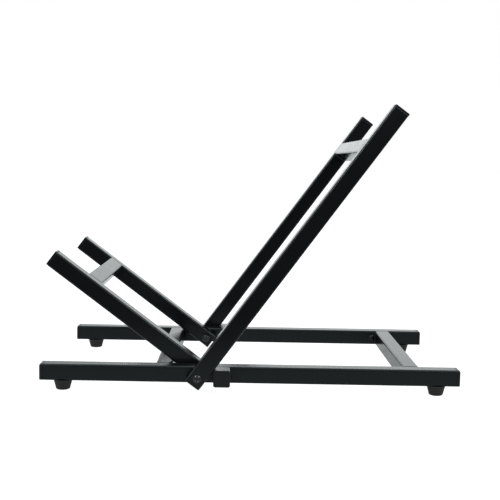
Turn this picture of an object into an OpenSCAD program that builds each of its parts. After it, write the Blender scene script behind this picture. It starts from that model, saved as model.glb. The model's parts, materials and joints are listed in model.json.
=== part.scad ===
// Folding stand that tilts an amplifier back: a base frame, a back frame and a
// seat frame of square tube. Both moving frames turn on one pair of pivot bolts.
// Millimetres. +X points to the rear, +Z up, and -Y is the stand's left side.
// The origin is on the floor, in the middle of the base frame.

/* [Tube] */
// Outer size of the square tube
tube_size = 20; // [18:0.5:22]
// Wall thickness of the tube
tube_wall = 1.5; // [1:0.1:1.8]
// Outer corner radius of the tube
tube_corner_r = 2.5; // [1.5:0.1:3.5]

/* [Base frame] */
// Length of the base over its end caps
base_length = 506; // [490:1:600]
// Width of the base over the outer faces of its rails
base_width = 270; // [220:1:400]
// Distance from the front end of the base to the pivot axis
pivot_from_front = 190.5; // [170:0.5:215]
// Distance from the rear end of the base to the rear crossbar
rear_bar_inset = 46.5; // [45:0.5:60]
// Distance from the rail's ends to the centres of the feet
foot_inset = 27; // [22:1:36]

/* [Back frame] */
// Angle of the back frame above the floor
back_angle = 54; // [45:0.5:70]
// Distance from the pivot axis to the upper end of the back arms
back_arm_reach = 394; // [385:1:480]
// Distance from the pivot axis to the crossbar of the back frame
back_bar_reach = 326; // [260:1:360]

/* [Seat frame] */
// Angle of the seat frame above the floor
seat_angle = 36.8; // [32:0.1:42]
// Distance from the pivot axis to the upper end of the seat arms
seat_arm_reach = 226; // [210:1:245]
// Distance from the pivot axis to the crossbar of the seat frame
seat_bar_reach = 159; // [110:0.5:180]
// Diameter of the round bumper under each seat arm
bumper_d = 13; // [7:0.5:14]
// Thickness of the round bumper under each seat arm
bumper_t = 2; // [1:0.1:3]

/* [Arms and end caps] */
// Distance from the pivot axis to the lower end of an arm
arm_tail = 10.5; // [10.2:0.1:12]
// Thickness of an arm cap's head
arm_cap_t = 3; // [2:0.1:3.2]
// Edge radius of an arm cap's head
arm_cap_r = 0.8; // [0.3:0.1:1.2]
// Thickness of a rail cap's head
rail_cap_t = 5; // [4:0.1:7]
// Radius of the rounded upper edge of a rail cap's head
rail_cap_r = 4; // [2:0.1:5]
// Thickness of a stub cap's head
stub_cap_t = 2; // [1.2:0.1:3]
// Depth of a long cap insert
cap_insert = 12; // [8:0.5:15]
// Depth of the short cap insert beside a pivot
tail_insert = 3; // [2:0.1:3.2]
// Wall thickness of a cap insert
insert_wall = 1.2; // [0.8:0.1:2]

/* [Pivots] */
// Diameter of the pivot bolt's shank
bolt_d = 6; // [5:0.5:6.5]
// Diameter of the bolt's domed head
bolt_head_d = 10; // [8.5:0.1:12]
// Height of the bolt's domed head
bolt_head_h = 3.3; // [2.8:0.1:4]
// Width across the flats of the bolt's hexagon socket
socket_flats = 4; // [3:0.1:5]
// Depth of the bolt's hexagon socket
socket_depth = 2; // [1:0.1:2.4]
// Width across the flats of the lock nut
nut_flats = 10; // [9:0.1:11]
// Height of the nut's hexagon
nut_hex_h = 4.5; // [3.5:0.1:6]
// Height of the collar that holds the nut's nylon ring
nut_collar_h = 1.8; // [1.4:0.1:3]
// Step from the nut's flats in to its round collar
nut_collar_step = 0.4; // [0.2:0.1:0.6]
// Radial thickness of the nut's nylon ring
nut_ring_wall = 0.9; // [0.5:0.1:1.1]
// Length of the bolt that stands out past its nut
bolt_stand_out = 1; // [0.5:0.1:4]
// Diameter of the steel washer under the nut
steel_washer_d = 12; // [11:0.1:14]
// Thickness of the steel washer under the nut
steel_washer_t = 1.2; // [0.8:0.1:2]
// Diameter of the nylon washers between arm and rail
nylon_washer_d = 18; // [14:0.5:19]
// Thickness of the nylon washers between arm and rail
nylon_washer_t = 1.5; // [1:0.1:3]
// Outer diameter of the spacer sleeve inside a rail
sleeve_d = 9; // [8:0.1:11]

/* [Feet] */
// Diameter of a foot at its top
foot_top_d = 22.6; // [20:0.1:26]
// Diameter of a foot near the floor
foot_bottom_d = 17.4; // [15:0.1:20]
// Height of a foot
foot_h = 12.1; // [9:0.1:16]
// Radius of the rounded lower edge of a foot
foot_round = 2.2; // [1:0.1:2.8]
// Diameter of the recess for the foot's screw
foot_recess_d = 9; // [8.4:0.1:9.6]
// Thickness of rubber above the recess
foot_web = 4; // [3:0.1:5]
// Diameter of the foot's screw
screw_d = 4; // [3:0.1:4.5]
// Diameter of the screw's pan head
screw_head_d = 7; // [6.4:0.1:7.6]
// Height of the screw's pan head
screw_head_h = 2.4; // [1.8:0.1:3]
// Thickness of the washer under the screw's head
screw_washer_t = 0.8; // [0.5:0.1:1]
// Length of the screw inside the tube
screw_reach = 5; // [3:0.5:8]
// Span of the cross recess in the screw's head
cross_span = 3.6; // [2.5:0.1:4.5]
// Width of the slots of the cross recess
cross_slot = 1; // [0.6:0.1:1.4]
// Depth of the cross recess
cross_depth = 1.2; // [0.8:0.1:1.5]

/* [Domes] */
// Height of the straight rim below each domed head, button and bumper
dome_rim = 0.7; // [0.4:0.1:0.9]

/* [Rail buttons] */
// Diameter of the domed button in front of the rear crossbar
button_d = 9; // [8:0.5:12]
// Height of the domed button
button_h = 2.6; // [2:0.1:3.5]
// Diameter of the button's stem
button_stem_d = 6; // [4:0.5:7]

/* [Fits] */
// Radial clearance of a pivot bolt in its holes
pivot_fit = 0.05; // [0.02:0.01:0.09]
// Radial clearance of fixed screws, washers and stems
fixed_fit = 0.15; // [0.1:0.05:0.3]
// Gap between a nylon washer and each face beside it
face_gap = 0.05; // [0.03:0.01:0.1]
// Gap between a resting arm and the edge of its stop
stop_gap = 0.3; // [0.2:0.05:0.5]
// Gap between a cap insert and the tube's inner wall
insert_gap = 0.1; // [0.05:0.05:0.3]

/* [Hidden] */

$fn = 64;
LEFT = -1;
RIGHT = 1;
SIDES = [LEFT, RIGHT];
FRONT = -1;
REAR = 1;
ENDS = [FRONT, REAR];
// How far a cutting tool reaches past the faces that it cuts
over = 1;
// Points along the quarter round of a turned edge
arc_steps = 8;
// Facets of the large circles that domes are cut from
dome_facets = 96;
// Smallest corner radius inside a tube
least_inner_r = 0.2;

coat_black = "#26282a";
cap_black = "#1c1c1d";
rubber_black = "#202020";
bolt_black = "#1a1a1b";
zinc = "#b9bcc0";
nylon = "#36373a";

half_tube = tube_size / 2;
tube_bore = tube_size - 2 * tube_wall;
tube_inner_r = max(tube_corner_r - tube_wall, least_inner_r);

// Heights and lengths of the base
rail_z = foot_h + half_tube;
pivot_x = -base_length / 2 + pivot_from_front;
pivot_z = rail_z;
rear_bar_x = base_length / 2 - rear_bar_inset - half_tube;

// Sideways places, counted outwards from the middle plane
rail_outer_y = base_width / 2;
rail_mid_y = rail_outer_y - half_tube;
rail_inner_y = rail_outer_y - tube_size;
joint_gap = nylon_washer_t + 2 * face_gap;
back_inner_y = rail_outer_y + joint_gap;
back_outer_y = back_inner_y + tube_size;
seat_outer_y = rail_inner_y - joint_gap;
seat_inner_y = seat_outer_y - tube_size;

// Sideways places of the pivot hardware
head_seat_y = back_outer_y + face_gap;
washer_seat_y = seat_inner_y - face_gap;
nut_seat_y = washer_seat_y - steel_washer_t;
nut_h = nut_hex_h + nut_collar_h;
bolt_tip_y = nut_seat_y - nut_h - bolt_stand_out;

// Height of a tube's corner centre above the pivot axis, which is also the tube's middle
corner_rise = half_tube - tube_corner_r;
// The stub stands where the back arm's rear face just clears its rounded corner
stub_corner_x = (half_tube + tube_corner_r + stop_gap + corner_rise * cos(back_angle)) / sin(back_angle);
stub_x = pivot_x + stub_corner_x - tube_corner_r + half_tube;
// The front crossbar stands where the bumper under the seat arm just clears its rounded corner
bumper_drop = half_tube + bumper_t;
bar_corner_x = (bumper_drop + tube_corner_r + stop_gap + corner_rise * cos(seat_angle)) / sin(seat_angle);
front_bar_x = pivot_x - bar_corner_x + tube_corner_r - half_tube;
// Where along the seat arm the bumper meets that corner
bumper_reach = bar_corner_x * cos(seat_angle) + corner_rise * sin(seat_angle);

bolt_hole_d = bolt_d + 2 * pivot_fit;
nut_ring_d = bolt_hole_d + 2 * nut_ring_wall;
screw_hole_d = screw_d + 2 * fixed_fit;
button_x = rear_bar_x - half_tube - button_d / 2 - fixed_fit;
foot_centres = [for (side = SIDES, end = ENDS) [end * (base_length / 2 - foot_inset), side * rail_mid_y]];

// ---- Profiles and basic shapes ----

// A square of the given width and height with four round corners, centred
module rounded_rect(w, h, r) {
    square([w - 2 * r, h], center = true);
    square([w, h - 2 * r], center = true);
    for (x = [-1, 1], y = [-1, 1])
        translate([x * (w / 2 - r), y * (h / 2 - r)]) circle(r);
}

// A block from x = 0 to x = w whose far corners are rounded, the upper and lower by their own radii
module end_profile(w, h, r_top, r_bottom) {
    translate([0, -h / 2]) square([w - max(r_top, r_bottom), h]);
    translate([0, -h / 2 + r_bottom]) square([w, h - r_top - r_bottom]);
    for (c = [[1, r_top], [-1, r_bottom]]) {
        translate([w - c[1], c[0] * (h / 2 - c[1])]) circle(c[1]);
        translate([0, c[0] > 0 ? h / 2 - c[1] : -h / 2]) square([w - c[1], c[1]]);
    }
}

// Square tube along +X from x0 to x1, centred on the X axis
module tube(x0, x1) {
    translate([x0, 0, 0]) rotate([90, 0, 90]) linear_extrude(x1 - x0) difference() {
        rounded_rect(tube_size, tube_size, tube_corner_r);
        rounded_rect(tube_bore, tube_bore, tube_inner_r);
    }
}

// Square tube across the stand from -reach to +reach
module cross_tube(reach) {
    rotate([0, 0, 90]) tube(-reach, reach);
}

// Hole along Y through everything near the axis
module cross_hole(d, reach) {
    rotate([90, 0, 0]) cylinder(h = 2 * reach, d = d, center = true);
}

// Flat ring along +Z from z = 0
module ring(outer_d, inner_d, h) {
    difference() {
        cylinder(h = h, d = outer_d);
        translate([0, 0, -over]) cylinder(h = h + 2 * over, d = inner_d);
    }
}

// Domed cap of the given diameter and height, with a small straight rim, along +Z
module dome(d, h) {
    rise = h - dome_rim;
    ball_r = (d * d / 4 + rise * rise) / (2 * rise);
    rotate_extrude() intersection() {
        square([d / 2, h]);
        translate([0, h - ball_r]) circle(ball_r, $fn = dome_facets);
    }
}

// Hexagonal prism of the given width across its flats, along +Z
module hexagon(flats, h) {
    cylinder(h = h, d = flats / cos(30), $fn = 6);
}

// Turns a piece that is built along +Z so that it points outwards on the given side, at distance y
module outward(side, y) {
    translate([pivot_x, side * y, pivot_z]) rotate([-90 * side, 0, 0]) children();
}

// Carries a piece that is built along +X into the back frame's or the seat frame's direction
module back_frame(y = 0) {
    translate([pivot_x, y, pivot_z]) rotate([0, -back_angle, 0]) children();
}

module seat_frame(y = 0) {
    translate([pivot_x, y, pivot_z]) rotate([0, seat_angle - 180, 0]) children();
}

// Plastic end cap: head from x = 0 outwards along +X, hollow insert into the tube behind it
module end_cap(head_t, r_top, r_side, insert) {
    insert_w = tube_bore - 2 * insert_gap;
    intersection() {
        rotate([90, 0, 0])
            linear_extrude(tube_size, center = true) end_profile(head_t, tube_size, r_top, r_side);
        linear_extrude(tube_size, center = true) end_profile(head_t, tube_size, r_side, r_side);
        rotate([90, 0, 90]) linear_extrude(head_t) rounded_rect(tube_size, tube_size, tube_corner_r);
    }
    translate([-insert, 0, 0]) rotate([90, 0, 90]) linear_extrude(insert) difference() {
        rounded_rect(insert_w, insert_w, tube_inner_r);
        square(insert_w - 2 * insert_wall, center = true);
    }
}

// ---- Base frame ----

module rail(side) {
    rail_end = base_length / 2 - rail_cap_t;
    translate([0, side * rail_mid_y, rail_z]) difference() {
        tube(-rail_end, rail_end);
        translate([pivot_x, 0, 0]) cross_hole(bolt_hole_d, tube_size);
        for (end = ENDS)
            translate([end * (base_length / 2 - foot_inset), 0, -half_tube - over])
                cylinder(h = tube_wall + 2 * over, d = screw_hole_d);
        translate([button_x, -side * (half_tube - tube_wall / 2), 0])
            cross_hole(button_stem_d + 2 * fixed_fit, tube_wall);
    }
}

module stop_stub(side) {
    translate([stub_x, 0, rail_z]) rotate([0, 0, 90 * side]) tube(rail_outer_y, back_outer_y - stub_cap_t);
}

module stub_cap(side) {
    translate([stub_x, side * (back_outer_y - stub_cap_t), rail_z]) rotate([0, 0, 90 * side])
        end_cap(stub_cap_t, arm_cap_r, arm_cap_r, cap_insert);
}

module rail_cap(side, end) {
    translate([end * (base_length / 2 - rail_cap_t), side * rail_mid_y, rail_z])
        rotate([0, 0, end == REAR ? 0 : 180]) end_cap(rail_cap_t, rail_cap_r, arm_cap_r, cap_insert);
}

// Outline of a foot from the floor up, with the lower edge rounded
function foot_outline() = concat(
    [[foot_recess_d / 2, 0]],
    [for (i = [0 : arc_steps])
        let (a = 90 * i / arc_steps)
        [foot_bottom_d / 2 - foot_round + foot_round * sin(a), foot_round - foot_round * cos(a)]],
    [[foot_top_d / 2, foot_h], [screw_hole_d / 2, foot_h],
        [screw_hole_d / 2, foot_h - foot_web], [foot_recess_d / 2, foot_h - foot_web]]);

module foot(side, end) {
    translate([end * (base_length / 2 - foot_inset), side * rail_mid_y, 0])
        rotate_extrude() polygon(foot_outline());
}

module foot_screw() {
    head_z = foot_h - foot_web - screw_washer_t;
    translate([0, 0, head_z]) rotate([180, 0, 0]) difference() {
        dome(screw_head_d, screw_head_h);
        translate([0, 0, screw_head_h - cross_depth]) linear_extrude(cross_depth + over) {
            square([cross_span, cross_slot], center = true);
            square([cross_slot, cross_span], center = true);
        }
    }
    translate([0, 0, head_z]) cylinder(h = foot_h + screw_reach - head_z, d = screw_d);
}

module rail_button(side) {
    translate([button_x, side * rail_inner_y, rail_z]) rotate([90 * side, 0, 0]) {
        dome(button_d, button_h);
        translate([0, 0, -tube_wall - over]) cylinder(h = tube_wall + over, d = button_stem_d);
    }
}

// ---- Pivot hardware, all carried by the base frame ----

module pivot_bolt(side) {
    outward(side, head_seat_y) difference() {
        dome(bolt_head_d, bolt_head_h);
        translate([0, 0, bolt_head_h - socket_depth]) hexagon(socket_flats, socket_depth + over);
    }
    outward(side, bolt_tip_y) cylinder(h = head_seat_y - bolt_tip_y, d = bolt_d);
}

// Points inwards from the washer: hexagon, then the round collar round the nylon ring
module lock_nut(side) {
    outward(side, nut_seat_y) rotate([180, 0, 0]) difference() {
        union() {
            hexagon(nut_flats, nut_hex_h);
            translate([0, 0, nut_hex_h]) cylinder(h = nut_collar_h, d = nut_flats - 2 * nut_collar_step);
        }
        translate([0, 0, -over]) cylinder(h = nut_h + 2 * over, d = bolt_hole_d);
        translate([0, 0, nut_hex_h]) cylinder(h = nut_collar_h + over, d = nut_ring_d);
    }
}

module lock_nut_ring(side) {
    outward(side, nut_seat_y - nut_hex_h) rotate([180, 0, 0]) ring(nut_ring_d, bolt_hole_d, nut_collar_h);
}

// ---- Back frame and seat frame ----

module arm(reach) {
    difference() {
        tube(-arm_tail + arm_cap_t, reach - arm_cap_t);
        cross_hole(bolt_hole_d, tube_size);
    }
}

module top_cap(reach) {
    translate([reach - arm_cap_t, 0, 0]) end_cap(arm_cap_t, arm_cap_r, arm_cap_r, cap_insert);
}

module tail_cap() {
    translate([-arm_tail + arm_cap_t, 0, 0]) rotate([0, 0, 180])
        end_cap(arm_cap_t, arm_cap_r, arm_cap_r, tail_insert);
}

module back_arm(side) {
    back_frame(side * (back_inner_y + half_tube)) arm(back_arm_reach);
}

module seat_arm(side) {
    seat_frame(side * (seat_inner_y + half_tube)) arm(seat_arm_reach);
}

// The seat frame's own +Z side points down, so the bumper stands on that face
module seat_bumper(side) {
    seat_frame(side * (seat_inner_y + half_tube))
        translate([bumper_reach, 0, half_tube]) dome(bumper_d, bumper_t);
}

// ---- Sub-parts ----

module left_rail() { color(coat_black) rail(LEFT); }
module right_rail() { color(coat_black) rail(RIGHT); }
module front_crossbar() { color(coat_black) translate([front_bar_x, 0, rail_z]) cross_tube(rail_inner_y); }
module rear_crossbar() { color(coat_black) translate([rear_bar_x, 0, rail_z]) cross_tube(rail_inner_y); }
module left_stop_stub() { color(coat_black) stop_stub(LEFT); }
module right_stop_stub() { color(coat_black) stop_stub(RIGHT); }
module left_stub_cap() { color(cap_black) stub_cap(LEFT); }
module right_stub_cap() { color(cap_black) stub_cap(RIGHT); }
module front_left_rail_cap() { color(cap_black) rail_cap(LEFT, FRONT); }
module front_right_rail_cap() { color(cap_black) rail_cap(RIGHT, FRONT); }
module rear_left_rail_cap() { color(cap_black) rail_cap(LEFT, REAR); }
module rear_right_rail_cap() { color(cap_black) rail_cap(RIGHT, REAR); }
module front_left_foot() { color(rubber_black) foot(LEFT, FRONT); }
module front_right_foot() { color(rubber_black) foot(RIGHT, FRONT); }
module rear_left_foot() { color(rubber_black) foot(LEFT, REAR); }
module rear_right_foot() { color(rubber_black) foot(RIGHT, REAR); }

module foot_screws() {
    color(zinc) for (c = foot_centres) translate([c[0], c[1], 0]) foot_screw();
}

module foot_screw_washers() {
    color(zinc) for (c = foot_centres)
        translate([c[0], c[1], foot_h - foot_web - screw_washer_t])
            ring(foot_recess_d - 2 * fixed_fit, screw_hole_d, screw_washer_t);
}

module rail_buttons() { color(cap_black) for (side = SIDES) rail_button(side); }
module left_pivot_bolt() { color(bolt_black) pivot_bolt(LEFT); }
module right_pivot_bolt() { color(bolt_black) pivot_bolt(RIGHT); }
module left_lock_nut() { color(bolt_black) lock_nut(LEFT); }
module right_lock_nut() { color(bolt_black) lock_nut(RIGHT); }
module lock_nut_rings() { color(nylon) for (side = SIDES) lock_nut_ring(side); }

module nut_washers() {
    color(bolt_black) for (side = SIDES)
        outward(side, nut_seat_y) ring(steel_washer_d, bolt_hole_d, steel_washer_t);
}

module outer_nylon_washers() {
    color(cap_black) for (side = SIDES)
        outward(side, rail_outer_y + face_gap) ring(nylon_washer_d, bolt_hole_d, nylon_washer_t);
}

module inner_nylon_washers() {
    color(cap_black) for (side = SIDES)
        outward(side, seat_outer_y + face_gap) ring(nylon_washer_d, bolt_hole_d, nylon_washer_t);
}

module rail_spacer_sleeves() {
    color(zinc) for (side = SIDES)
        outward(side, rail_inner_y + tube_wall) ring(sleeve_d, bolt_hole_d, tube_bore);
}

module left_back_arm() { color(coat_black) back_arm(LEFT); }
module right_back_arm() { color(coat_black) back_arm(RIGHT); }

module back_crossbar() {
    color(coat_black) back_frame() translate([back_bar_reach + half_tube, 0, 0]) cross_tube(back_inner_y);
}

module left_back_top_cap() { color(cap_black) back_frame(-back_outer_y + half_tube) top_cap(back_arm_reach); }
module right_back_top_cap() { color(cap_black) back_frame(back_outer_y - half_tube) top_cap(back_arm_reach); }
module left_back_tail_cap() { color(cap_black) back_frame(-back_outer_y + half_tube) tail_cap(); }
module right_back_tail_cap() { color(cap_black) back_frame(back_outer_y - half_tube) tail_cap(); }
module left_seat_arm() { color(coat_black) seat_arm(LEFT); }
module right_seat_arm() { color(coat_black) seat_arm(RIGHT); }

module seat_crossbar() {
    color(coat_black) seat_frame() translate([seat_bar_reach + half_tube, 0, 0]) cross_tube(seat_inner_y);
}

module left_seat_top_cap() { color(cap_black) seat_frame(-seat_outer_y + half_tube) top_cap(seat_arm_reach); }
module right_seat_top_cap() { color(cap_black) seat_frame(seat_outer_y - half_tube) top_cap(seat_arm_reach); }
module left_seat_tail_cap() { color(cap_black) seat_frame(-seat_outer_y + half_tube) tail_cap(); }
module right_seat_tail_cap() { color(cap_black) seat_frame(seat_outer_y - half_tube) tail_cap(); }
module seat_bumpers() { color(rubber_black) for (side = SIDES) seat_bumper(side); }

left_rail();
right_rail();
front_crossbar();
rear_crossbar();
left_stop_stub();
right_stop_stub();
left_stub_cap();
right_stub_cap();
front_left_rail_cap();
front_right_rail_cap();
rear_left_rail_cap();
rear_right_rail_cap();
front_left_foot();
front_right_foot();
rear_left_foot();
rear_right_foot();
foot_screws();
foot_screw_washers();
rail_buttons();
left_pivot_bolt();
right_pivot_bolt();
left_lock_nut();
right_lock_nut();
lock_nut_rings();
nut_washers();
outer_nylon_washers();
inner_nylon_washers();
rail_spacer_sleeves();
left_back_arm();
right_back_arm();
back_crossbar();
left_back_top_cap();
right_back_top_cap();
left_back_tail_cap();
right_back_tail_cap();
left_seat_arm();
right_seat_arm();
seat_crossbar();
left_seat_top_cap();
right_seat_top_cap();
left_seat_tail_cap();
right_seat_tail_cap();
seat_bumpers();
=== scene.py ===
import json
import math

import bmesh
import bpy
from mathutils import Matrix, Vector


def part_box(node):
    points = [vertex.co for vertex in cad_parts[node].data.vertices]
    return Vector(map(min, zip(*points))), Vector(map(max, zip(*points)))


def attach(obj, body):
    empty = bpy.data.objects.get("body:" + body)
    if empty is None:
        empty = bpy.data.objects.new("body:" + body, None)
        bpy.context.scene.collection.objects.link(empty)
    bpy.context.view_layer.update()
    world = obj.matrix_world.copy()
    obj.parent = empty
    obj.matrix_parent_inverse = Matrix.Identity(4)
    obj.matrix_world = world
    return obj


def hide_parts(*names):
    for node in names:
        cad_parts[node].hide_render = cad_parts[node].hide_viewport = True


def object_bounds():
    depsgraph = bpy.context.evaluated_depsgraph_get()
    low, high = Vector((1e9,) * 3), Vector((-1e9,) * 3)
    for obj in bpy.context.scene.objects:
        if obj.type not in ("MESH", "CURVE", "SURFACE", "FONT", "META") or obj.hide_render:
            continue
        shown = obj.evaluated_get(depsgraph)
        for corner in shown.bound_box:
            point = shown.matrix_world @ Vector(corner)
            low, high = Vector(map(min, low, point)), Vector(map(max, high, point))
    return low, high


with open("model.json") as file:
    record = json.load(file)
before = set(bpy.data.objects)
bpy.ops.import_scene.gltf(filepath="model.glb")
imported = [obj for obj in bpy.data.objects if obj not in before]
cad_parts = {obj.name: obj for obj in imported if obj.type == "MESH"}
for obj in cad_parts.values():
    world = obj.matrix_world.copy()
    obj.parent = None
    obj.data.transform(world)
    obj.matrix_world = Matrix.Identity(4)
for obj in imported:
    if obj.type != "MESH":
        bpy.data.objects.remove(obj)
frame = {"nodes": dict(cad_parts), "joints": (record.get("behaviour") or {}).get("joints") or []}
cad_low, cad_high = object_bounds()
nodes = frame["nodes"]

MM = 0.001

# The stand faces -X, and +Y is on its right.
LENGTHWAYS = Vector((1, 0, 0))
ACROSS = Vector((0, 1, 0))
UPRIGHT = Vector((0, 0, 1))
ENDS = {"front": -1, "rear": 1}
SIDES = {"left": -1, "right": 1}


def axes_at(origin, x_axis, y_axis, z_axis):
    """The matrix that puts an object's origin and its three axes in place."""
    return Matrix.Translation(origin) @ Matrix((x_axis, y_axis, z_axis)).transposed().to_4x4()


# ---- Camera ----

# Fitted to the edges of the tubes in the photograph. The angles are in radians.
SENSOR_MM = 36.0
IMAGE_PX = 500.0
FOCAL_PX = 905.0883
CAMERA_PLACE = Vector((-13.3401, -1201.1619, 278.1370)) * MM
CAMERA_YAW = 0.00968
CAMERA_PITCH = 0.0978
CAMERA_ROLL = 0.01904


def add_camera():
    """The photograph's camera: turned right by the yaw, tipped down, then rolled."""
    data = bpy.data.cameras.new("camera")
    data.sensor_width = SENSOR_MM
    data.lens = FOCAL_PX / IMAGE_PX * SENSOR_MM
    camera = bpy.data.objects.new("camera", data)
    bpy.context.scene.collection.objects.link(camera)
    ahead = Vector((
        math.sin(CAMERA_YAW) * math.cos(CAMERA_PITCH),
        math.cos(CAMERA_YAW) * math.cos(CAMERA_PITCH),
        -math.sin(CAMERA_PITCH),
    ))
    level = Vector((math.cos(CAMERA_YAW), -math.sin(CAMERA_YAW), 0))
    upright = level.cross(ahead)
    right = math.cos(CAMERA_ROLL) * level + math.sin(CAMERA_ROLL) * upright
    up = math.cos(CAMERA_ROLL) * upright - math.sin(CAMERA_ROLL) * level
    camera.matrix_world = axes_at(CAMERA_PLACE, right, up, -ahead)
    bpy.context.scene.camera = camera


# ---- Node helpers ----

# The Mix node has sockets for every kind of data, and these are its colours.
MIX_FIRST = 6
MIX_SECOND = 7
MIX_RESULT = 2

BLACK = (0, 0, 0, 1)
WHITE = (1, 1, 1, 1)


def grey(level):
    return (level, level, level, 1)


def put(tree, kind, **settings):
    """Adds a node and sets its plain properties."""
    node = tree.nodes.new(kind)
    for name, value in settings.items():
        setattr(node, name, value)
    return node


def feed(tree, socket, source):
    """Links source to the socket, or writes it there when it is a plain value."""
    if isinstance(source, bpy.types.NodeSocket):
        tree.links.new(source, socket)
    else:
        socket.default_value = source


def math_of(tree, operation, *terms, clamp=False):
    """The result of a Math node on sockets or plain values."""
    node = put(tree, "ShaderNodeMath", operation=operation, use_clamp=clamp)
    for socket, term in zip(node.inputs, terms):
        feed(tree, socket, term)
    return node.outputs[0]


def ramp_between(tree, value, low, high, at_low, at_high):
    """Runs from at_low to at_high as the value goes from low to high, eased at both ends."""
    node = put(tree, "ShaderNodeMapRange", interpolation_type="SMOOTHSTEP")
    for socket, term in zip(node.inputs, (value, low, high, at_low, at_high)):
        feed(tree, socket, term)
    return node.outputs[0]


def blend_colours(tree, share, first, second):
    """The first colour where the share is 0, and the second where it is 1."""
    node = put(tree, "ShaderNodeMix", data_type="RGBA")
    feed(tree, node.inputs["Factor"], share)
    feed(tree, node.inputs[MIX_FIRST], first)
    feed(tree, node.inputs[MIX_SECOND], second)
    return node.outputs[MIX_RESULT]


def noise(tree, place, per_metre, detail=2.0, roughness=0.5):
    """A cloudy pattern from 0 to 1 with so many waves to the metre."""
    node = put(tree, "ShaderNodeTexNoise")
    settings = {"Vector": place, "Scale": per_metre, "Detail": detail, "Roughness": roughness}
    for name, term in settings.items():
        feed(tree, node.inputs[name], term)
    return node.outputs["Fac"]


def bare_material(name):
    """A material without nodes, and its tree."""
    material = bpy.data.materials.new(name)
    material.use_nodes = True
    material.node_tree.nodes.clear()
    return material, material.node_tree


# ---- Studio ----

# The studio's strength where it lights the stand. In the gloss it is 1, and both are tinted.
SKY_LEVEL = 0.62
SKY_TINT = (0.93, 1.0, 0.99, 1)

# The dim room behind the camera. By the Y and the Z of a direction of length 1, it is full up to
# the first value of a pair and gone from the second.
DIM_LEVEL = 0.22
ROOM_SIDE = (-0.55, -0.2)
ROOM_TOP = (0.08, 0.42)

FLOOR_REACH = 30.0
# The floor's own white, its glow for the rays that show it and its glow in the finishes' gloss,
# which grows from the front to the back of the span. That gloss glow is painted shade and light:
# low at the front and under the stand, brighter behind it as if lit by the back lamps.
FLOOR_WHITE = 0.28
FLOOR_LIFT = 0.95
FLOOR_GLOSS_FRONT = 0.53
FLOOR_GLOSS_BACK = 0.8
FLOOR_GLOSS_SPAN = (0.0, 0.6)

# Painted shade in the gloss: where the floor goes dark in front of the stand, and half of the
# width that it fades over.
# Rays to the camera still see the floor white there.
GLOSS_SHADE_EDGE = -0.40
GLOSS_SHADE_FADE = 0.17

# Place and size in metres, power in watts.
LAMPS = {
    "front_left_lamp": ((-1.0, -1.15, 1.25), (0.42, 0.42), 9.0),
    "front_right_lamp": ((1.0, -1.15, 1.25), (0.42, 0.42), 9.0),
    "left_softbox": ((-1.6, -0.15, 1.1), (1.2, 1.2), 5.0),
    "right_softbox": ((1.6, -0.15, 1.3), (1.2, 1.2), 5.0),
    "top_softbox": ((0.0, 0.0, 1.8), (1.6, 1.6), 8.0),
    "back_softbox": ((0.45, 2.2, 0.42), (2.0, 0.5), 1.2),
    "back_strip_lamp": ((0.45, 2.2, 0.72), (2.0, 0.24), 0.85),
}


def seen_ray(tree):
    """The Light Path node, and 1 for its rays to the camera, in gloss and through glass."""
    path = put(tree, "ShaderNodeLightPath")
    direct = math_of(tree, "MAXIMUM", path.outputs["Is Camera Ray"], path.outputs["Is Glossy Ray"])
    return path, math_of(tree, "MAXIMUM", direct, path.outputs["Is Transmission Ray"])


def dimmed(tree, mask):
    """1 where the mask is 0, and the dim room's level where it is 1."""
    return math_of(tree, "SUBTRACT", 1.0, math_of(tree, "MULTIPLY", mask, 1 - DIM_LEVEL))


def light_world():
    """A white studio, with the dim room behind the camera, which the finishes reflect."""
    world = bpy.data.worlds.new("studio")
    bpy.context.scene.world = world
    world.use_nodes = True
    tree = world.node_tree
    tree.nodes.clear()
    direction = put(tree, "ShaderNodeSeparateXYZ")
    feed(tree, direction.inputs[0], put(tree, "ShaderNodeTexCoord").outputs["Generated"])
    path, seen = seen_ray(tree)
    towards_room = ramp_between(tree, direction.outputs["Y"], *ROOM_SIDE, 1.0, 0.0)
    below_ceiling = ramp_between(tree, direction.outputs["Z"], *ROOM_TOP, 1.0, 0.0)
    in_room = math_of(tree, "MULTIPLY", towards_room, below_ceiling)
    off_camera = math_of(tree, "SUBTRACT", 1.0, path.outputs["Is Camera Ray"])
    share = dimmed(tree, math_of(tree, "MULTIPLY", in_room, off_camera))
    level = ramp_between(tree, seen, 0.0, 1.0, SKY_LEVEL, 1.0)
    background = put(tree, "ShaderNodeBackground")
    feed(tree, background.inputs["Color"], blend_colours(tree, off_camera, WHITE, SKY_TINT))
    feed(tree, background.inputs["Strength"], math_of(tree, "MULTIPLY", level, share))
    feed(tree, put(tree, "ShaderNodeOutputWorld").inputs["Surface"], background.outputs[0])


def add_lamp(name, place, size, power):
    """A soft rectangular lamp that looks at the stand and doesn't show itself."""
    data = bpy.data.lights.new(name, "AREA")
    data.shape = "RECTANGLE"
    data.size, data.size_y = size
    data.energy = power
    lamp = bpy.data.objects.new(name, data)
    bpy.context.scene.collection.objects.link(lamp)
    lamp.location = place
    lamp.visible_camera = False
    aim = (cad_low + cad_high) / 2 - Vector(place)
    lamp.rotation_euler = aim.to_track_quat("-Z", "Y").to_euler()


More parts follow.
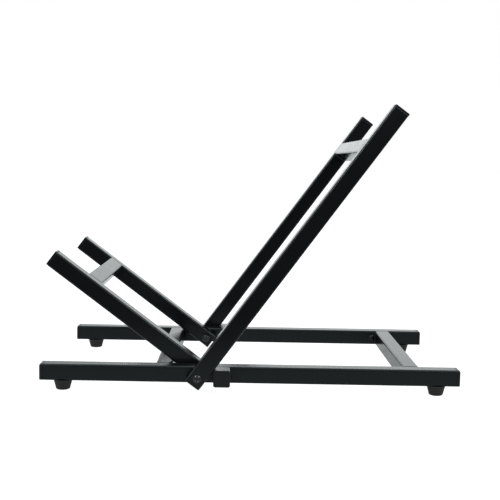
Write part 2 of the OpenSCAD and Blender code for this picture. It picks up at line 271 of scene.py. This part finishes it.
def white_paper():
    """Paper that glows white for the rays that show it. In the gloss it carries painted shade,
    dark in front of the stand, and painted light that grows towards the back.
    """
    paper, tree = bare_material("white_floor")
    path, seen = seen_ray(tree)
    in_gloss = path.outputs["Is Glossy Ray"]
    place = put(tree, "ShaderNodeSeparateXYZ")
    feed(tree, place.inputs[0], put(tree, "ShaderNodeTexCoord").outputs["Object"])
    depth = place.outputs["Y"]
    fade = (GLOSS_SHADE_EDGE - GLOSS_SHADE_FADE, GLOSS_SHADE_EDGE + GLOSS_SHADE_FADE)
    # Painted shade: in the gloss only, the floor in front of the stand is dimmed to the dim room's
    # level.
    painted_shade_ahead = ramp_between(tree, depth, *fade, 1.0, 0.0)
    share = dimmed(tree, math_of(tree, "MULTIPLY", painted_shade_ahead, in_gloss))
    matte = put(tree, "ShaderNodeBsdfDiffuse")
    feed(tree, matte.inputs["Color"], blend_colours(tree, share, BLACK, grey(FLOOR_WHITE)))
    glow = put(tree, "ShaderNodeEmission")
    shown = math_of(tree, "MULTIPLY", seen, FLOOR_LIFT)
    # Painted shade and light in the gloss: the reflected floor is low at the front and under the
    # stand, and brighter behind.
    painted_gloss_glow = ramp_between(tree, depth, *FLOOR_GLOSS_SPAN, FLOOR_GLOSS_FRONT, FLOOR_GLOSS_BACK)
    change = math_of(tree, "SUBTRACT", painted_gloss_glow, shown)
    strength = math_of(tree, "MULTIPLY_ADD", in_gloss, change, shown)
    feed(tree, glow.inputs["Strength"], math_of(tree, "MULTIPLY", strength, share))
    feed(tree, glow.inputs["Color"], blend_colours(tree, in_gloss, WHITE, SKY_TINT))
    both = put(tree, "ShaderNodeAddShader")
    feed(tree, both.inputs[0], matte.outputs[0])
    feed(tree, both.inputs[1], glow.outputs[0])
    feed(tree, put(tree, "ShaderNodeOutputMaterial").inputs["Surface"], both.outputs[0])
    return paper


def add_floor():
    """A wide sheet of white paper under the feet."""
    mesh = bpy.data.meshes.new("floor")
    signs = ((-1, -1), (1, -1), (1, 1), (-1, 1))
    corners = [(x * FLOOR_REACH, y * FLOOR_REACH, 0) for x, y in signs]
    mesh.from_pydata(corners, [], [(0, 1, 2, 3)])
    floor = bpy.data.objects.new("floor", mesh)
    bpy.context.scene.collection.objects.link(floor)
    mesh.materials.append(white_paper())


# ---- Finishes ----

NOISE_MIDDLE = 0.5

# Powder coat: slow drift of its tone over the tube.
DRIFT_PER_METRE = 28.0

# Moulded parts: the grain's range that holds dust, and how far the gloss changes.
HOLLOW_GRAIN = (0.3, 0.6)
MOULDED_GLOSS_SPREAD = 0.12

# Turned steel: the cloud's range that turns worn, and how far the gloss changes.
WORN_CLOUD = (0.45, 0.75)
STEEL_GLOSS_SPREAD = 0.2


def open_surface(name, values):
    """A node group for a surface: its named values go in; colour, roughness and height come out.
    Gives the group, its inputs, its outputs and the place on the piece."""
    group = bpy.data.node_groups.new(name, "ShaderNodeTree")
    for title, default in values.items():
        kind = "NodeSocketColor" if isinstance(default, tuple) else "NodeSocketFloat"
        socket = group.interface.new_socket(title, in_out="INPUT", socket_type=kind)
        socket.default_value = default
    group.interface.new_socket("Colour", in_out="OUTPUT", socket_type="NodeSocketColor")
    group.interface.new_socket("Roughness", in_out="OUTPUT", socket_type="NodeSocketFloat")
    group.interface.new_socket("Height", in_out="OUTPUT", socket_type="NodeSocketFloat")
    place = put(group, "ShaderNodeTexCoord").outputs["Object"]
    return group, put(group, "NodeGroupInput").outputs, put(group, "NodeGroupOutput").inputs, place


def coating_surface():
    """Powder coat: orange peel, a fine grain on it and a slight unevenness in tone and gloss."""
    group, given, made, place = open_surface("powder_surface", {
        "Colour": grey(0.01), "Tone Spread": 0.3, "Gloss Spread": 0.08, "Roughness": 0.35,
        "Peel Per Metre": 800.0, "Grain Per Metre": 3200.0, "Grain Share": 0.35,
    })
    peel = noise(group, place, given["Peel Per Metre"], detail=1.0)
    grain = noise(group, place, given["Grain Per Metre"], detail=2.0, roughness=0.6)
    drift = noise(group, place, DRIFT_PER_METRE, detail=2.0)
    grain_swing = math_of(group, "SUBTRACT", grain, NOISE_MIDDLE)
    drift_swing = math_of(group, "SUBTRACT", drift, NOISE_MIDDLE)
    lightness = math_of(group, "MULTIPLY_ADD", grain_swing, given["Tone Spread"], 1.0)
    lightness = math_of(group, "MULTIPLY_ADD", drift_swing, given["Tone Spread"], lightness)
    tone = put(group, "ShaderNodeVectorMath", operation="SCALE")
    feed(group, tone.inputs[0], given["Colour"])
    feed(group, tone.inputs["Scale"], lightness)
    feed(group, made["Colour"], tone.outputs[0])
    uneven = math_of(group, "ADD", drift_swing, grain_swing)
    gloss = (uneven, given["Gloss Spread"], given["Roughness"])
    feed(group, made["Roughness"], math_of(group, "MULTIPLY_ADD", *gloss, clamp=True))
    fine = math_of(group, "SUBTRACT", grain, peel)
    feed(group, made["Height"], math_of(group, "MULTIPLY_ADD", fine, given["Grain Share"], peel))
    return group


def moulded_surface():
    """Moulded plastic or rubber: spark-eroded grain, faint flow marks and dust in the hollows."""
    group, given, made, place = open_surface("moulded_surface", {
        "Colour": grey(0.01), "Dust Colour": grey(0.05), "Dust Share": 0.1,
        "Roughness": 0.5, "Grain Per Metre": 2600.0, "Flow Per Metre": 60.0,
    })
    grain = noise(group, place, given["Grain Per Metre"], detail=3.0, roughness=0.6)
    flow = noise(group, place, given["Flow Per Metre"], detail=2.0)
    hollow = ramp_between(group, grain, *HOLLOW_GRAIN, 1.0, 0.0)
    patchy = math_of(group, "MULTIPLY", hollow, flow)
    dusty = math_of(group, "MULTIPLY", patchy, given["Dust Share"])
    feed(group, made["Colour"], blend_colours(group, dusty, given["Colour"], given["Dust Colour"]))
    uneven = math_of(group, "SUBTRACT", math_of(group, "ADD", flow, grain), 2 * NOISE_MIDDLE)
    gloss = (uneven, MOULDED_GLOSS_SPREAD, given["Roughness"])
    feed(group, made["Roughness"], math_of(group, "MULTIPLY_ADD", *gloss, clamp=True))
    feed(group, made["Height"], grain)
    return group


def turned_steel_surface():
    """Plated or blackened steel: fine tool marks and a cloudy tone that shows the wear."""
    group, given, made, place = open_surface("turned_steel_surface", {
        "Colour": grey(0.01), "Worn Colour": grey(0.1), "Wear Share": 0.2,
        "Roughness": 0.3, "Marks Per Metre": 2400.0, "Cloud Per Metre": 300.0,
    })
    marks = noise(group, place, given["Marks Per Metre"], detail=2.0, roughness=0.7)
    cloud = noise(group, place, given["Cloud Per Metre"], detail=3.0)
    patches = ramp_between(group, cloud, *WORN_CLOUD, 0.0, 1.0)
    worn = math_of(group, "MULTIPLY", patches, given["Wear Share"])
    feed(group, made["Colour"], blend_colours(group, worn, given["Colour"], given["Worn Colour"]))
    uneven = math_of(group, "SUBTRACT", math_of(group, "ADD", marks, cloud), 2 * NOISE_MIDDLE)
    gloss = (uneven, STEEL_GLOSS_SPREAD, given["Roughness"])
    feed(group, made["Roughness"], math_of(group, "MULTIPLY_ADD", *gloss, clamp=True))
    feed(group, made["Height"], marks)
    return group


def finish_of(name, surface_group, values, bump, sockets):
    """A material: the shared surface feeds a shader whose fixed values stand on its own sockets.
    bump is the relief's strength and its depth in metres."""
    material, tree = bare_material(name)
    surface = put(tree, "ShaderNodeGroup", node_tree=surface_group)
    shader = put(tree, "ShaderNodeBsdfPrincipled")
    relief = put(tree, "ShaderNodeBump")
    relief_values = dict(zip(("Strength", "Distance"), bump))
    for node, settings in ((surface, values), (shader, sockets), (relief, relief_values)):
        for title, value in settings.items():
            node.inputs[title].default_value = value
    feed(tree, relief.inputs["Height"], surface.outputs["Height"])
    feed(tree, shader.inputs["Base Color"], surface.outputs["Colour"])
    feed(tree, shader.inputs["Roughness"], surface.outputs["Roughness"])
    feed(tree, shader.inputs["Normal"], relief.outputs["Normal"])
    feed(tree, put(tree, "ShaderNodeOutputMaterial").inputs["Surface"], shader.outputs[0])
    return material


def make_finishes():
    """One material for each slot of the record."""
    coat, moulded, steel = coating_surface(), moulded_surface(), turned_steel_surface()
    return {
        "powder_coat": finish_of(
            "black_powder_coat", coat,
            {"Colour": (0.0038, 0.0042, 0.0045, 1), "Roughness": 0.2, "Tone Spread": 0.6,
             "Peel Per Metre": 420.0, "Grain Share": 0.7},
            bump=(0.6, 0.1 * MM),
            sockets={"IOR": 1.3, "Specular Tint": (0.87, 0.96, 1.0, 1)},
        ),
        "cap_plastic": finish_of(
            "black_cap_plastic", moulded,
            {"Colour": (0.0052, 0.0052, 0.0054, 1), "Dust Colour": grey(0.02), "Roughness": 0.3},
            bump=(0.2, 0.03 * MM),
            sockets={"IOR": 1.31, "Specular Tint": (0.9, 0.96, 1.0, 1)},
        ),
        "foot_rubber": finish_of(
            "black_foot_rubber", moulded,
            {"Colour": grey(0.0074), "Dust Colour": grey(0.06), "Dust Share": 0.3,
             "Roughness": 0.6, "Grain Per Metre": 1100.0},
            bump=(0.8, 0.25 * MM),
            sockets={"IOR": 1.4, "Specular Tint": (1.0, 0.96, 0.99, 1)},
        ),
        "black_steel": finish_of(
            "black_oxide_steel", steel,
            {"Colour": (0.003, 0.003, 0.0034, 1), "Worn Colour": grey(0.012), "Roughness": 0.06},
            bump=(0.1, 0.02 * MM),
            sockets={"IOR": 1.45},
        ),
        "zinc_steel": finish_of(
            "zinc_plated_steel", steel,
            {"Colour": (0.52, 0.53, 0.55, 1), "Worn Colour": (0.38, 0.39, 0.42, 1),
             "Roughness": 0.28},
            bump=(0.15, 0.02 * MM),
            sockets={"Metallic": 1.0},
        ),
        "dark_nylon": finish_of(
            "dark_grey_nylon", moulded,
            {"Colour": (0.026, 0.027, 0.029, 1), "Dust Colour": grey(0.05), "Roughness": 0.4},
            bump=(0.2, 0.03 * MM),
            sockets={"IOR": 1.5},
        ),
    }


def dress_nodes():
    """Gives each CAD node the finish of the slot that it was packed with."""
    for node in nodes.values():
        slot = node.data.materials[0].name
        node.data.materials.clear()
        node.data.materials.append(finishes[slot])


# ---- Places taken from the frame ----

PIVOT = Vector(frame["joints"][0]["pos_m"])


def centre_of(node):
    low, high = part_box(node)
    return (low + high) / 2


def span(node, direction):
    """The least and the greatest distance of a node's points along a direction."""
    reaches = [vertex.co.dot(direction) for vertex in nodes[node].data.vertices]
    return min(reaches), max(reaches)


def half_span(node, direction):
    near, far = span(node, direction)
    return (far - near) / 2


def arm_direction(arm):
    """Along an arm, away from the pivot: the middle of its box is its own middle."""
    along = centre_of(arm) - PIVOT
    along.y = 0
    return along.normalized()


def placed(origin, along, up):
    """The matrix that sets a piece's X along, its Z up and its origin in place."""
    along, up = along.normalized(), up.normalized()
    return axes_at(origin, along, up.cross(along), up)


def on_pivot(axis, seat):
    """The matrix that seats a piece on the pivot's axis at a distance, with its Z on the axis."""
    return placed(PIVOT + axis * seat, LENGTHWAYS, axis)


# ---- Mesh building ----

MERGE_DISTANCE = 1e-7
SHARP_ANGLE = math.radians(38)
ROUND_POINTS = 48
HEXAGON_SECTOR = math.radians(60)
HEXAGON_CORNER = math.radians(30)


def add_piece(name, shape, place, slot, body, replaced=()):
    """Turns a shape into a piece at its place, with its finish, body and replaced nodes."""
    bmesh.ops.remove_doubles(shape, verts=shape.verts, dist=MERGE_DISTANCE)
    bmesh.ops.recalc_face_normals(shape, faces=shape.faces)
    mesh = bpy.data.meshes.new(name)
    shape.to_mesh(mesh)
    shape.free()
    mesh.transform(place)
    mesh.shade_smooth()
    mesh.set_sharp_from_angle(angle=SHARP_ANGLE)
    mesh.materials.append(finishes[slot])
    piece = bpy.data.objects.new(name, mesh)
    bpy.context.scene.collection.objects.link(piece)
    piece.modifiers.new("even_shading", "WEIGHTED_NORMAL").keep_sharp = True
    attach(piece, body)
    if replaced:
        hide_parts(*replaced)


def loft(shape, rings):
    """Skins closed rings of equally many points in turn. A ring of one point closes an end."""
    made = [[shape.verts.new(point) for point in ring] for ring in rings]
    for near, far in zip(made, made[1:]):
        count = max(len(near), len(far))
        for i in range(count):
            j = (i + 1) % count
            if len(near) == 1:
                shape.faces.new((near[0], far[j], far[i]))
            elif len(far) == 1:
                shape.faces.new((near[i], near[j], far[0]))
            else:
                shape.faces.new((near[i], near[j], far[j], far[i]))


def shaped_ring(reach_at, height):
    """A ring round Z whose distance from it follows the angle."""
    ring = []
    for i in range(ROUND_POINTS):
        angle = math.tau * i / ROUND_POINTS
        reach = reach_at(angle)
        ring.append((reach * math.cos(angle), reach * math.sin(angle), height))
    return ring


def round_ring(radius, height):
    return shaped_ring(lambda angle: radius, height)


def turned_rings(profile):
    """The circles of a turned piece, from its profile's (radius, height) points."""
    return [round_ring(radius, height) for radius, height in profile]


def arc(centre, radius, start, end, steps):
    """Points (radius, height) of a profile's arc, angles in degrees from outwards to upwards."""
    points = []
    for i in range(steps + 1):
        angle = math.radians(start + (end - start) * i / steps)
        points.append((centre[0] + radius * math.cos(angle), centre[1] + radius * math.sin(angle)))
    return points


def hexagon_reach(flats):
    """Distance from the middle to a hexagon's edge, by angle."""
    half = HEXAGON_SECTOR / 2
    return lambda angle: flats / 2 / math.cos((angle + half) % HEXAGON_SECTOR - half)


# ---- End caps ----

TUBE_CORNER = 2.5 * MM
TUBE_WALL = 1.5 * MM
CORNER_STEPS = 8

CAP_EDGE = 0.8 * MM
RAIL_CAP_ROUND = 1.8 * MM
EDGE_STEPS = 7
# Along the cap from the seam, and how deep the groove is there.
SEAM_GROOVE = {0.0: 0.0, 0.2 * MM: 0.0, 0.65 * MM: 0.3 * MM, 0.85 * MM: 0.0}

INSERT_GAP = 0.1 * MM
INSERT_WALL = 1.2 * MM
INSERT_CORNER = 1.5 * MM
RIB_PITCH = 3.0 * MM
# A rib's place on its pitch, counted from the middle of the rib, and how far it has drawn in.
RIB_PROFILE = ((0.2, 0.1 * MM), (0.05, 0.0), (-0.05, 0.0), (-0.2, 0.1 * MM))


def rounded_ring(x, side, low, high, radius):
    """A rectangle with round corners, square to X: side is its half width, low and high its
    bottom and top."""
    ring = []
    corners = ((side, high, 0), (-side, high, 90), (-side, low, 180), (side, low, 270))
    for corner_y, corner_z, start in corners:
        centre_y = corner_y - math.copysign(radius, corner_y)
        centre_z = corner_z - math.copysign(radius, corner_z)
        for i in range(CORNER_STEPS + 1):
            angle = math.radians(start + 90 * i / CORNER_STEPS)
            y = centre_y + radius * math.cos(angle)
            z = centre_z + radius * math.sin(angle)
            ring.append((x, y, z))
    return ring


def edge_inset(x, end, radius):
    """How far an edge that is rounded towards the end has drawn in at x."""
    past = max(0.0, x - (end - radius))
    return radius - math.sqrt(max(0.0, radius * radius - past * past))


def cap_head(shape, thickness, half, top_round):
    """A cap's head from X = 0 outwards: a groove by the seam, then every outer edge rounded."""
    stations = dict(SEAM_GROOVE)
    for radius in (CAP_EDGE, top_round):
        for i in range(EDGE_STEPS + 1):
            past = radius * math.sin(math.pi / 2 * i / EDGE_STEPS)
            stations.setdefault(thickness - radius + past, 0.0)
    rings = [[(0, 0, 0)]]
    for x, groove in sorted(stations.items()):
        side = half - groove - edge_inset(x, thickness, CAP_EDGE)
        top = half - groove - edge_inset(x, thickness, top_round)
        rings.append(rounded_ring(x, side, -side, top, TUBE_CORNER - (half - side)))
    loft(shape, rings + [[(thickness, 0, 0)]])


def cap_insert(shape, length, half):
    """The hollow tail inside the tube, with grip ribs round it and a taper at its end."""
    grip = half - TUBE_WALL - INSERT_GAP

    def insert_ring(x, inset):
        reach = grip - inset
        return rounded_ring(x, reach, -reach, reach, INSERT_CORNER - min(inset, INSERT_CORNER / 2))

    rings = [insert_ring(0, INSERT_GAP)]
    for rib in range(int(length / RIB_PITCH)):
        middle = rib + 0.5
        rings += [insert_ring((step - middle) * RIB_PITCH, inset) for step, inset in RIB_PROFILE]
    rings += [insert_ring(-length, 2 * INSERT_GAP), insert_ring(-length, INSERT_WALL)]
    rings += [insert_ring(0, INSERT_WALL), rings[0]]
    loft(shape, rings)


def add_cap(node, tube, along, up, body, top_round=CAP_EDGE):
    """Replaces a cap: its head lies between the tube's end and the cap's own end."""
    seam = span(tube, along)[1]
    tail, end = span(node, along)
    half = half_span(node, up.cross(along))
    middle = centre_of(node)
    origin = middle + along * (seam - middle.dot(along))
    shape = bmesh.new()
    cap_head(shape, end - seam, half, top_round)
    cap_insert(shape, seam - tail, half)
    add_piece(node + "_moulded", shape, placed(origin, along, up), "cap_plastic", body, (node,))


def add_caps():
    for side, sign in SIDES.items():
        rail, stub = f"{side}_rail", f"{side}_stop_stub"
        for end, facing in ENDS.items():
            cap, forwards = f"{end}_{side}_rail_cap", LENGTHWAYS * facing
            add_cap(cap, rail, forwards, UPRIGHT, "base_frame", RAIL_CAP_ROUND)
        add_cap(f"{side}_stub_cap", stub, ACROSS * sign, UPRIGHT, "base_frame")
        for part in ("back", "seat"):
            arm, body = f"{side}_{part}_arm", f"{part}_frame"
            along = arm_direction(arm)
            add_cap(f"{side}_{part}_top_cap", arm, along, along.cross(ACROSS), body)
            add_cap(f"{side}_{part}_tail_cap", arm, -along, along.cross(ACROSS), body)


# ---- Pivot bolts ----

# The thread: its diameter, its pitch, and how deep and how long it is cut.
BOLT = 6.0 * MM
PITCH = 1.0 * MM
THREAD_DEPTH = 0.55 * MM
THREAD_LENGTH = 10.0 * MM
THREAD_STEPS = 10
# How much steeper the flanks are than a pointed thread's, which leaves the crest flat.
THREAD_CREST = 1.25

HEAD_RIM = 0.7 * MM
HEAD_EDGE = 0.25 * MM
# Where the dome goes over into its rounded edge, in degrees up from outwards.
HEAD_EDGE_START = 60
HEAD_EDGE_STEPS = 4
# The distance from the axis where the dome begins, just outside the socket's lead.
DOME_START = 2.45 * MM
DOME_STEPS = 12

SOCKET_FLATS = 4.0 * MM
SOCKET_DEPTH = 2.0 * MM
SOCKET_LEAD = 0.15 * MM
SOCKET_POINT = 1.2 * MM


def head_profile(radius, height):
    """A button head's profile from its socket's edge down over the dome and rim to the seat."""
    rise = height - HEAD_RIM
    ball = (radius * radius + rise * rise) / (2 * rise)
    dome_width = radius - HEAD_EDGE - DOME_START
    profile = []
    for i in range(DOME_STEPS + 1):
        reach = DOME_START + dome_width * i / DOME_STEPS
        profile.append((reach, height - ball + math.sqrt(ball * ball - reach * reach)))
    edge_reach, dome_foot = radius - HEAD_EDGE, profile[-1][1]
    upper, lower = (edge_reach, dome_foot - HEAD_EDGE), (edge_reach, HEAD_EDGE)
    profile += arc(upper, HEAD_EDGE, HEAD_EDGE_START, 0, HEAD_EDGE_STEPS)
    profile += [(radius, HEAD_EDGE)]
    profile += arc(lower, HEAD_EDGE, 0, -90, HEAD_EDGE_STEPS)
    return profile


def thread_rings(tip, length):
    """Rings up a real helix from the tip, each point drawn in by where it lies on the turn."""
    rings = []
    for i in range(int(length / PITCH * THREAD_STEPS) + 1):
        height = tip + i * PITCH / THREAD_STEPS
        turns = (height - tip) / PITCH
        lead = min(1.0, turns)

        def reach_at(angle, turns=turns, lead=lead):
            turn_share = (turns - angle / math.tau) % 1.0
            crest = 1 - abs(2 * turn_share - 1)
            return BOLT / 2 - THREAD_DEPTH * (1 - min(1.0, crest * THREAD_CREST) * lead)

        rings.append(shaped_ring(reach_at, height))
    return rings


def add_bolt(side, sign):
    """A button-head bolt: from its socket's pointed floor over the head to the thread's tip."""
    node = f"{side}_pivot_bolt"
    outwards = ACROSS * sign
    seat = span(f"{side}_back_arm", outwards)[1]
    tip, top = span(node, outwards)
    height = top - seat
    floor = height - SOCKET_DEPTH
    socket = hexagon_reach(SOCKET_FLATS)
    rings = [
        [(0, 0, floor - SOCKET_POINT)],
        shaped_ring(socket, floor),
        shaped_ring(socket, height - 2 * SOCKET_LEAD),
        round_ring(socket(HEXAGON_CORNER) + SOCKET_LEAD / 2, height - SOCKET_LEAD / 2),
    ]
    rings += turned_rings(head_profile(half_span(node, LENGTHWAYS), height))
    rings += [round_ring(BOLT / 2, 0)]
    rings += reversed(thread_rings(tip - seat, THREAD_LENGTH))
    rings += [[(0, 0, tip - seat)]]
    shape = bmesh.new()
    loft(shape, rings)
    place = on_pivot(outwards, seat)
    add_piece(node + "_turned", shape, place, "black_steel", "base_frame", (node,))


# ---- Lock nuts ----

# Diameters across the bore and the flats, then the height of the hexagon.
NUT_BORE = 6.1 * MM
NUT_FLATS = 10.0 * MM
NUT_HEX = 4.5 * MM
# The width of the flat face that the cut corners leave, and of a loop of edges inside it.
NUT_FACE = 0.98 * NUT_FLATS
NUT_FACE_LOOP = 0.9 * NUT_FLATS
NUT_CORNER_SLOPE = math.tan(math.radians(30))
NUT_CUT_STEPS = 8

# The collar's height, and how far its side stands back from the flats.
NUT_COLLAR = 1.8 * MM
NUT_COLLAR_STEP = 0.4 * MM
NUT_COLLAR_FOOT = 0.2 * MM
NUT_COLLAR_FOOT_STEPS = 4
NUT_COLLAR_ROLL = 0.6 * MM
NUT_COLLAR_ROLL_STEPS = 6
RING_WALL = 0.9 * MM


def nut_hexagon():
    """The hexagon's rings from the seat up, with the corners cut back at both faces."""
    reach_at = hexagon_reach(NUT_FLATS)
    cut = (reach_at(HEXAGON_CORNER) - NUT_FLATS / 2) * NUT_CORNER_SLOPE
    depths = [cut * i / NUT_CUT_STEPS for i in range(NUT_CUT_STEPS + 1)]

    def cut_ring(height, depth):
        cone = NUT_FACE / 2 + depth / NUT_CORNER_SLOPE
        return shaped_ring(lambda angle: min(reach_at(angle), cone), height)

    rings = [cut_ring(depth, depth) for depth in depths]
    return rings + [cut_ring(NUT_HEX - depth, depth) for depth in reversed(depths)]


def nut_collar():
    """The round collar's profile: a small fillet on the hexagon, then the rolled rim."""
    side = NUT_FLATS / 2 - NUT_COLLAR_STEP
    top = NUT_HEX + NUT_COLLAR
    fillet = (side + NUT_COLLAR_FOOT, NUT_HEX + NUT_COLLAR_FOOT)
    roll = (side - NUT_COLLAR_ROLL, top - NUT_COLLAR_ROLL)
    profile = arc(fillet, NUT_COLLAR_FOOT, 270, 180, NUT_COLLAR_FOOT_STEPS)
    return profile + arc(roll, NUT_COLLAR_ROLL, 0, 90, NUT_COLLAR_ROLL_STEPS)


def add_nut(side, sign):
    """A lock nut: hexagon, then the collar that is rolled over its nylon ring."""
    node = f"{side}_lock_nut"
    inwards = ACROSS * -sign
    bore, pocket, top = NUT_BORE / 2, NUT_BORE / 2 + RING_WALL, NUT_HEX + NUT_COLLAR
    rings = turned_rings([(bore, 0), (NUT_FACE_LOOP / 2, 0)])
    rings += nut_hexagon()
    rings += turned_rings(nut_collar())
    rings += turned_rings([(pocket, top), (pocket, NUT_HEX), (bore, NUT_HEX), (bore, 0)])
    shape = bmesh.new()
    loft(shape, rings)
    place = on_pivot(inwards, span(node, inwards)[0])
    add_piece(node + "_cut", shape, place, "black_steel", "base_frame", (node,))


# ---- Feet ----

# Radii of the sole, of the recess for the screw's head and of the hole for the screw.
FOOT_BOTTOM = 8.7 * MM
FOOT_RECESS = 4.5 * MM
FOOT_HOLE = 2.15 * MM
# The rubber between the recess and the rail.
FOOT_WEB = 4.0 * MM
FOOT_ROUND = 2.2 * MM
FOOT_ROUND_STEPS = 8
FOOT_TOP_EDGE = 0.5 * MM
FOOT_TOP_STEPS = 4
FOOT_SOLE_EDGE = 0.4 * MM


def add_foot(side, end):
    """A tapered rubber foot, with the recess for its screw from below."""
    node = f"{end}_{side}_foot"
    top, wide = span(node, UPRIGHT)[1], half_span(node, LENGTHWAYS)
    ceiling = top - FOOT_WEB
    sole_round = (FOOT_BOTTOM - FOOT_ROUND, FOOT_ROUND)
    top_edge = (wide - FOOT_TOP_EDGE, top - FOOT_TOP_EDGE)
    profile = [(FOOT_HOLE, ceiling), (FOOT_RECESS, ceiling), (FOOT_RECESS, FOOT_SOLE_EDGE)]
    profile += [(FOOT_RECESS + FOOT_SOLE_EDGE, 0)]
    profile += arc(sole_round, FOOT_ROUND, -90, 0, FOOT_ROUND_STEPS)
    profile += arc(top_edge, FOOT_TOP_EDGE, 0, 90, FOOT_TOP_STEPS)
    profile += [(FOOT_HOLE, top), (FOOT_HOLE, ceiling)]
    shape = bmesh.new()
    loft(shape, turned_rings(profile))
    middle = centre_of(node)
    place = Matrix.Translation((middle.x, middle.y, 0))
    add_piece(node + "_moulded", shape, place, "foot_rubber", "base_frame", (node,))


# ---- Weld beads ----

BEAD_LEG = 1.9 * MM
STUB_FRONT_LEG = 1.2 * MM
BEAD_ROOT = 0.4 * MM
BEAD_STEP = 0.25 * MM
BEAD_POINTS = 9
# Between a flat fillet at 1 and a full round one at 0.
BEAD_FLATNESS = 0.55
# The bead rises over this length at both ends, from this share of its size.
BEAD_END = 1.6 * MM
BEAD_END_SHARE = 0.25

RIPPLE_PITCH = 1.5 * MM
RIPPLE_SHARE = 0.09
# How far a ripple bows out along the bead, in pitches, and its strength left at the legs.
RIPPLE_BOW = 0.3
RIPPLE_AT_LEGS = 0.3
# The hand's unevenness: the most that it shifts a ripple's phase, and the length of one radian
# of its sway along the bead.
HAND_SHIFT = 0.7
HAND_LENGTH = 4.0 * MM


def bead_ring(along, fullness, first_leg, second_leg):
    """The bead's outline at a distance from its start, as vectors from the corner."""
    shift = HAND_SHIFT * math.sin(along / HAND_LENGTH)
    ring = []
    for i in range(BEAD_POINTS):
        turned = math.pi / 2 * i / (BEAD_POINTS - 1)
        crest = math.sin(2 * turned)
        wave = math.sin(math.tau * (along / RIPPLE_PITCH - RIPPLE_BOW * crest) + shift)
        ripple = RIPPLE_SHARE * (abs(wave) - 0.5) * (RIPPLE_AT_LEGS + crest)
        chord = 1 / (math.cos(turned) + math.sin(turned))
        reach = fullness * (1 + ripple) * (BEAD_FLATNESS * chord + 1 - BEAD_FLATNESS)
        first = first_leg * (math.cos(turned) * reach)
        ring.append(first + second_leg * (math.sin(turned) * reach))
    ring.append((first_leg.normalized() + second_leg.normalized()) * -BEAD_ROOT)
    return ring


def weld_bead(shape, start, run, first_leg, second_leg):
    """A rippled fillet in the corner from a point along a vector, with its two legs."""
    length, way = run.length, run.normalized()
    steps = int(length / BEAD_STEP)
    rings = []
    for i in range(steps + 1):
        along = length * i / steps
        risen = min(1.0, along / BEAD_END, (length - along) / BEAD_END)
        bulge = math.sqrt(max(0.0, risen * (2 - risen)))
        fullness = bulge * (1 - BEAD_END_SHARE) + BEAD_END_SHARE
        corner = start + way * along
        rings.append([corner + out for out in bead_ring(along, fullness, first_leg, second_leg)])
    tips = [[sum(ring, Vector()) / len(ring)] for ring in (rings[0], rings[-1])]
    loft(shape, [tips[0]] + rings + [tips[1]])


def add_crossbar_welds(node, along, body):
    """Four upright beads: one on each side face at each end of a crossbar."""
    up = along.cross(ACROSS)
    middle = centre_of(node)
    left_end, right_end = span(node, ACROSS)
    half = half_span(node, along)
    flat = half - TUBE_CORNER
    shape = bmesh.new()
    for sign, end in ((-1, left_end), (1, right_end)):
        for facing in (-1, 1):
            corner = Vector((middle.x, end, middle.z)) + along * (facing * half) - up * flat
            legs = (along * (facing * BEAD_LEG), ACROSS * (-sign * BEAD_LEG))
            weld_bead(shape, corner, up * 2 * flat, *legs)
    add_piece(node + "_welds", shape, Matrix.Identity(4), "powder_coat", body)


def add_stub_welds(side, sign):
    """Two upright beads; the front one stays inside the gap that the back arm moves in."""
    node = f"{side}_stop_stub"
    outwards = ACROSS * sign
    root = outwards * span(node, outwards)[0]
    middle = centre_of(node)
    half = half_span(node, LENGTHWAYS)
    flat = half_span(node, UPRIGHT) - TUBE_CORNER
    shape = bmesh.new()
    for facing, leg in ((-1, STUB_FRONT_LEG), (1, BEAD_LEG)):
        corner = Vector((middle.x + facing * half, root.y, middle.z - flat))
        legs = (LENGTHWAYS * (facing * leg), outwards * leg)
        weld_bead(shape, corner, UPRIGHT * 2 * flat, *legs)
    add_piece(node + "_welds", shape, Matrix.Identity(4), "powder_coat", "base_frame")


def add_welds():
    for node in ("front_crossbar", "rear_crossbar"):
        add_crossbar_welds(node, LENGTHWAYS, "base_frame")
    for part in ("back", "seat"):
        along = arm_direction(f"left_{part}_arm")
        add_crossbar_welds(f"{part}_crossbar", along, f"{part}_frame")
    for side, sign in SIDES.items():
        add_stub_welds(side, sign)


add_camera()
bpy.context.scene.view_settings.view_transform = "Standard"
light_world()
for lamp_name, (lamp_place, lamp_size, lamp_power) in LAMPS.items():
    add_lamp(lamp_name, lamp_place, lamp_size, lamp_power)
add_floor()
finishes = make_finishes()
dress_nodes()
add_caps()
for side_name, side_sign in SIDES.items():
    add_bolt(side_name, side_sign)
    add_nut(side_name, side_sign)
    for end_name in ENDS:
        add_foot(side_name, end_name)
add_welds()
